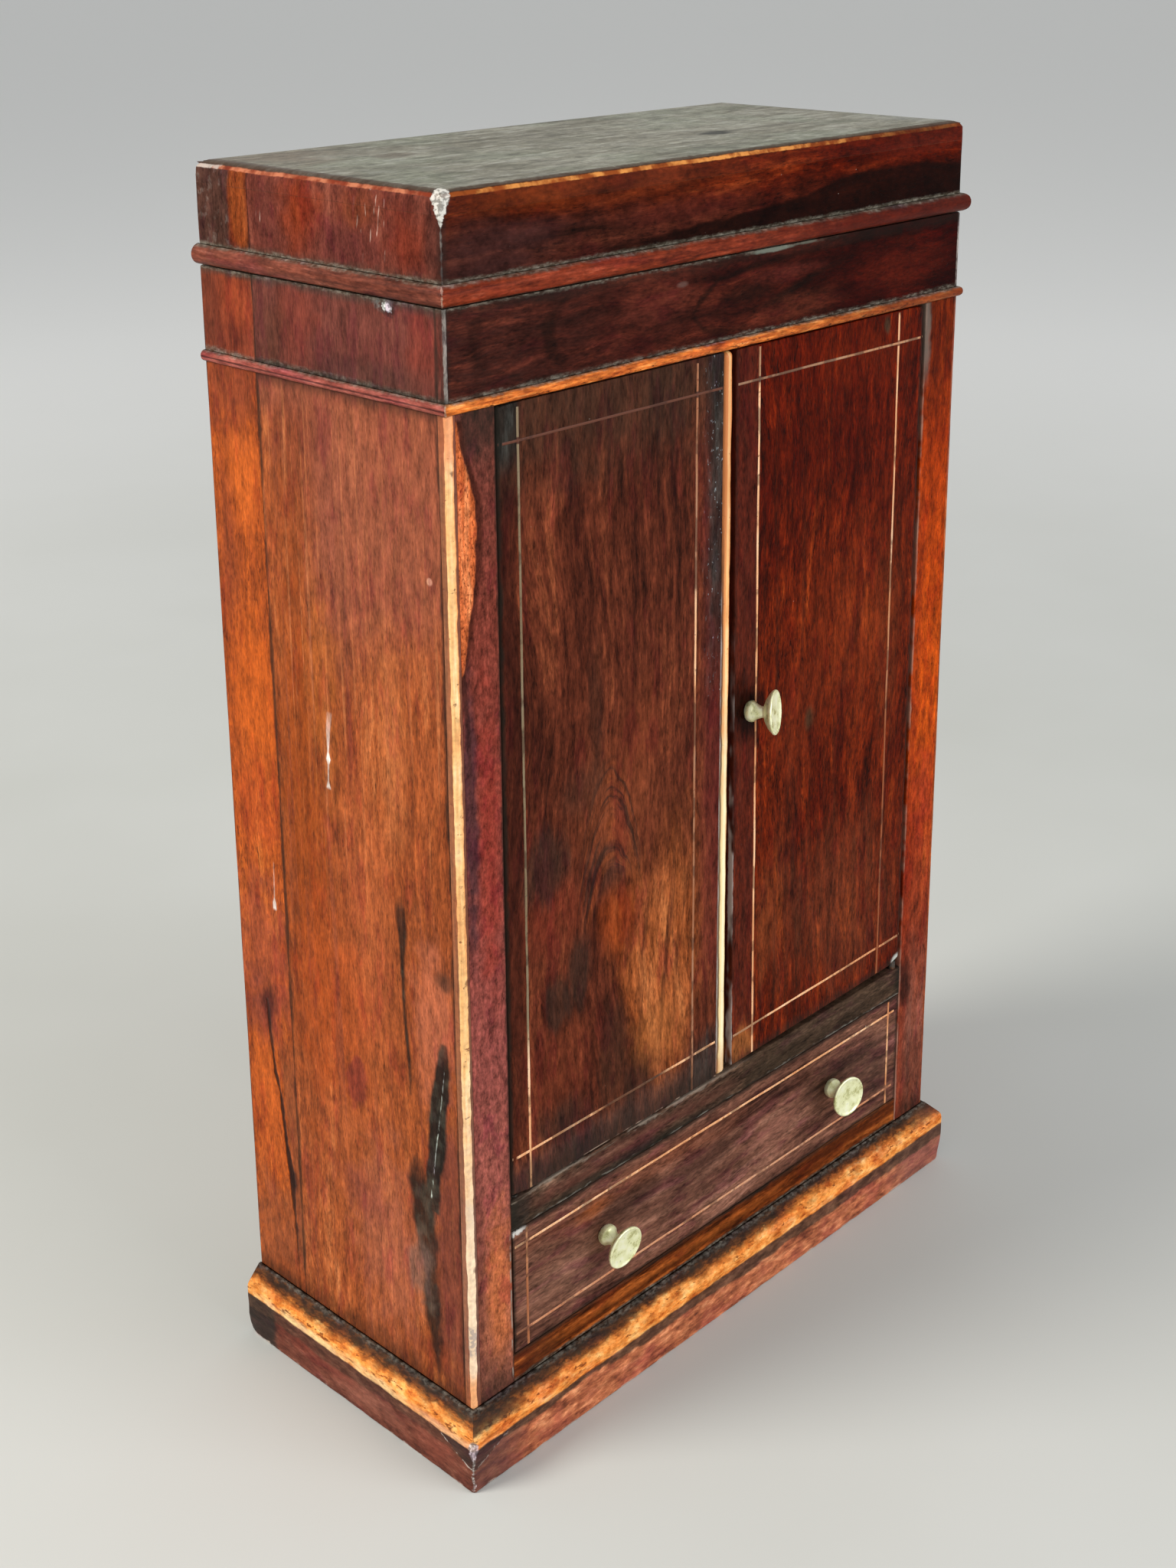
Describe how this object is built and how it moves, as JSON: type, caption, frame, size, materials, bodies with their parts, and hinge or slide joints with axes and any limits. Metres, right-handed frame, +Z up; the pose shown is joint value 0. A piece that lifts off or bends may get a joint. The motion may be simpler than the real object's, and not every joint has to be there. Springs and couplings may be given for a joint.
{
  "type": "table cabinet",
  "caption": "Small upright table cabinet with hinged doors over a drawer, and a shallow tray under a lifting lid, for papers and keepsakes.",
  "frame": {"origin": "middle of the case's base in plan, on the surface that the cabinet stands on", "axes": "+Z up, +X to the viewer's right and +Y to the back; the doors and the drawer face -Y"},
  "size_m": [0.2106, 0.1025, 0.337],
  "materials": {
    "rosewood_side": "worn polish over straight-grained veneer",
    "rosewood_back_leaf": "worn polish, orange-brown",
    "rosewood_left_stile": "worn polish, dark red-brown",
    "rosewood_right_stile": "worn polish with a strip of orange sapwood",
    "rosewood_lower_rail": "worn polish with orange streaks",
    "rosewood_middle_rail": "worn polish, grey upper edge",
    "rosewood_frieze": "worn polish, dark figure",
    "rosewood_left_door": "worn polish, dark flame figure",
    "rosewood_right_door": "worn polish, dark flame figure",
    "rosewood_drawer_front": "worn polish, level grain",
    "rosewood_plinth": "worn polish with rubbed arrises",
    "rosewood_thin_bead": "rubbed orange-brown moulding",
    "rosewood_lid_bead": "rubbed red-brown moulding",
    "rosewood_lid_wall": "worn polish, red-brown with dark streaks",
    "rosewood_lid_top": "faded, greenish-grey polish",
    "boxwood_line": "light inlaid lines, flush",
    "boxwood_corner": "light corner strip with dark nicks",
    "boxwood_bead": "light rounded strip with a brown edge",
    "case_board": "plain planed board, unpolished",
    "drawer_board": "plain planed board, waxed",
    "knob_brass": "turned and polished, slightly tarnished",
    "hinge_brass": "dull rolled sheet and wire",
    "pivot_iron": "dark drawn wire"
  },
  "bodies": {
    "carcass": {"left_side": "case_board", "right_side": "case_board", "left_side_veneer": "rosewood_side", "right_side_veneer": "rosewood_side", "left_back_leaf": "rosewood_back_leaf", "right_back_leaf": "rosewood_back_leaf", "left_stile": "rosewood_left_stile", "right_stile": "rosewood_right_stile", "corner_stringing": "boxwood_corner", "lower_rail": "rosewood_lower_rail", "middle_rail": "rosewood_middle_rail", "frieze_front": "rosewood_frieze", "base_board": "case_board", "drawer_divider": "case_board", "shelf": "case_board", "shelf_bearers": "case_board", "tray_floor": "case_board", "back_panel": "case_board", "drawer_runners": "case_board", "drawer_guides": "case_board", "drawer_stops": "case_board", "door_stops": "case_board", "plinth_front": "rosewood_plinth", "plinth_left": "rosewood_plinth", "plinth_right": "rosewood_plinth", "thin_bead_front": "rosewood_thin_bead", "thin_bead_left": "rosewood_thin_bead", "thin_bead_right": "rosewood_thin_bead", "door_pivot_pins": "pivot_iron", "hinge_case_leaves": "hinge_brass", "hinge_case_screws": "hinge_brass", "hinge_pins": "hinge_brass"},
    "left_door": {"left_door_panel": "rosewood_left_door", "left_door_stringing": "boxwood_line", "meeting_bead": "boxwood_bead"},
    "right_door": {"right_door_panel": "rosewood_right_door", "right_door_stringing": "boxwood_line", "door_knob": "knob_brass"},
    "drawer": {"drawer_front": "rosewood_drawer_front", "drawer_stringing": "boxwood_line", "drawer_knob_left": "knob_brass", "drawer_knob_right": "knob_brass", "drawer_left_side": "drawer_board", "drawer_right_side": "drawer_board", "drawer_back": "drawer_board", "drawer_bottom": "drawer_board"},
    "lid": {"lid_front": "rosewood_lid_wall", "lid_left": "rosewood_lid_wall", "lid_right": "rosewood_lid_wall", "lid_back": "rosewood_lid_wall", "lid_top": "rosewood_lid_top", "lid_bead_front": "rosewood_lid_bead", "lid_bead_left": "rosewood_lid_bead", "lid_bead_right": "rosewood_lid_bead", "hinge_lid_leaves": "hinge_brass", "hinge_lid_screws": "hinge_brass"}
  },
  "joints": [
    {"name": "left_door_hinge", "type": "hinge", "parent": "carcass", "child": "left_door", "pos_m": [-0.0826, -0.0432, 0.1813], "axis": [0, 0, -1], "range_deg": [0, 100]},
    {"name": "right_door_hinge", "type": "hinge", "parent": "carcass", "child": "right_door", "pos_m": [0.0826, -0.0432, 0.18235], "axis": [0, 0, 1], "range_deg": [0, 100]},
    {"name": "drawer_slide", "type": "slide", "parent": "carcass", "child": "drawer", "axis": [0, -1, 0], "range_m": [0, 0.065]},
    {"name": "lid_hinge", "type": "hinge", "parent": "carcass", "child": "lid", "pos_m": [0, 0.04645, 0.31115], "axis": [-1, 0, 0], "range_deg": [0, 180]}
  ]
}
